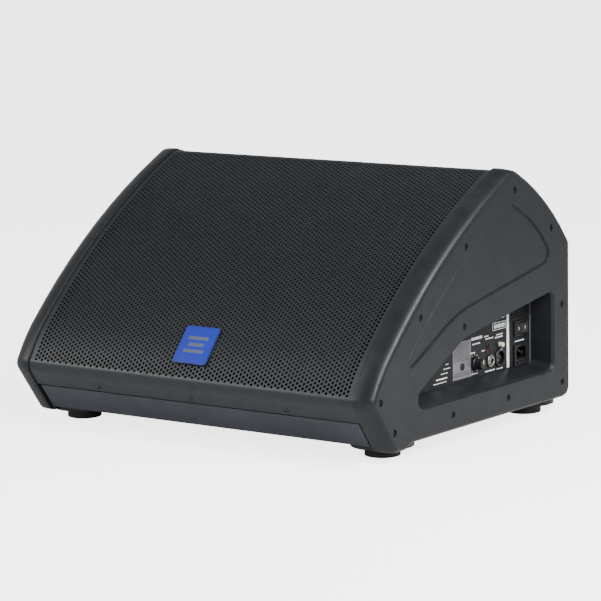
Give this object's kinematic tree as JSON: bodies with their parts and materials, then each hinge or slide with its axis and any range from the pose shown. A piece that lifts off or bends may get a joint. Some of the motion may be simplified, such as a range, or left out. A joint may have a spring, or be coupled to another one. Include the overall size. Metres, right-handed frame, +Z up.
{
  "type": "stage monitor wedge",
  "caption": "Powered wedge-shaped floor monitor loudspeaker with moulded cheeks, a curved perforated grille, rubber feet and a side amplifier pocket.",
  "frame": {"origin": "centre of the object's box on the floor, under its four feet", "axes": "+X to the side with the amplifier panel, -Y to the low front nose that faces the performer, +Z up"},
  "size_m": [0.575, 0.4631, 0.336],
  "materials": {
    "cheek_plastic": "moulded structural foam plastic with a fine satin texture",
    "box_paint": "textured dark blue-grey paint over plywood",
    "plywood": "bare birch plywood",
    "grille_steel": "satin black powder coat on perforated steel",
    "black_foam": "open-cell acoustic foam",
    "badge_enamel": "blue satin enamel with a dark border",
    "black_rubber": "matt moulded rubber",
    "black_screw": "black oxide steel",
    "cast_paint": "black crackle paint",
    "cone_paper": "pressed paper, treated",
    "ferrite": "sintered ferrite",
    "zinc_steel": "zinc plated steel",
    "winding_copper": "enamelled copper winding",
    "black_plastic": "moulded black plastic",
    "panel_enamel": "satin black powder coat with white print",
    "nickel_plate": "nickel plate",
    "bare_aluminium": "extruded and turned aluminium",
    "board_resin": "glass fibre circuit board",
    "beige_cap": "moulded ivory plastic",
    "red_lamp": "tinted lens"
  },
  "bodies": {
    "root": {"cheek_right": "cheek_plastic", "cheek_left": "cheek_plastic", "bottom_board": "box_paint", "front_board": "box_paint", "back_board": "box_paint", "top_board": "box_paint", "baffle": "plywood", "side_board_right": "plywood", "side_board_left": "plywood", "grille": "grille_steel", "grille_foam": "black_foam", "grille_screw_1": "black_screw", "grille_screw_2": "black_screw", "grille_screw_3": "black_screw", "badge_plate": "badge_enamel", "foot_front_right": "black_rubber", "foot_front_left": "black_rubber", "foot_rear_right": "black_rubber", "foot_rear_left": "black_rubber", "foot_screw_front_right": "black_screw", "foot_screw_front_left": "black_screw", "foot_screw_rear_right": "black_screw", "foot_screw_rear_left": "black_screw", "driver_basket": "cast_paint", "driver_gasket": "black_rubber", "driver_surround": "black_rubber", "driver_spider": "cone_paper", "magnet_top_plate": "zinc_steel", "magnet_ring": "ferrite", "magnet_back_plate": "zinc_steel", "horn": "black_plastic", "compression_driver": "cast_paint", "port_tube_right": "black_plastic", "port_tube_left": "black_plastic", "amp_panel": "panel_enamel", "jack_socket": "nickel_plate", "xlr_socket": "black_plastic", "volume_pot": "nickel_plate", "lift_bezel": "black_plastic", "mode_bezel": "black_plastic", "led_signal": "red_lamp", "led_limit": "red_lamp", "rocker_bezel": "black_plastic", "mains_inlet": "black_plastic", "pin_line": "nickel_plate", "pin_neutral": "nickel_plate", "pin_earth": "nickel_plate", "heat_sink": "bare_aluminium", "amp_board": "board_resin", "mains_transformer": "winding_copper", "hand_pocket": "black_plastic"},
    "volume_control": {"volume_knob": "black_plastic", "volume_shaft": "bare_aluminium"},
    "power_switch": {"power_rocker": "black_plastic"},
    "lift_switch": {"lift_button": "beige_cap"},
    "mode_switch": {"mode_button": "black_plastic"},
    "connector_latch": {"xlr_latch": "nickel_plate"},
    "fuse_carrier": {"fuse_drawer": "black_plastic"},
    "moving_cone": {"driver_cone": "cone_paper", "voice_coil": "winding_copper"}
  },
  "joints": [
    {"name": "volume_turn", "type": "hinge", "parent": "root", "child": "volume_control", "pos_m": [0.258, 0.045, 0.088], "axis": [1, 0, 0], "range_deg": [-150, 150]},
    {"name": "power_rock", "type": "hinge", "parent": "root", "child": "power_switch", "pos_m": [0.258, 0.1545, 0.119], "axis": [0, 0, 1], "range_deg": [0, 18]},
    {"name": "lift_press", "type": "slide", "parent": "root", "child": "lift_switch", "axis": [-1, 0, 0], "range_m": [0, 0.0025], "stiffness_N_per_m": 300, "springref_m": -0.002},
    {"name": "mode_press", "type": "slide", "parent": "root", "child": "mode_switch", "axis": [-1, 0, 0], "range_m": [0, 0.0012], "stiffness_N_per_m": 300, "springref_m": -0.002},
    {"name": "latch_press", "type": "slide", "parent": "root", "child": "connector_latch", "axis": [0, 0, -1], "range_m": [0, 0.0008], "stiffness_N_per_m": 500, "springref_m": -0.001},
    {"name": "fuse_slide", "type": "slide", "parent": "root", "child": "fuse_carrier", "axis": [1, 0, 0], "range_m": [0, 0.012]},
    {"name": "cone_travel", "type": "slide", "parent": "root", "child": "moving_cone", "axis": [0, -0.599, 0.8007], "range_m": [-0.005, 0.005], "stiffness_N_per_m": 4000}
  ]
}
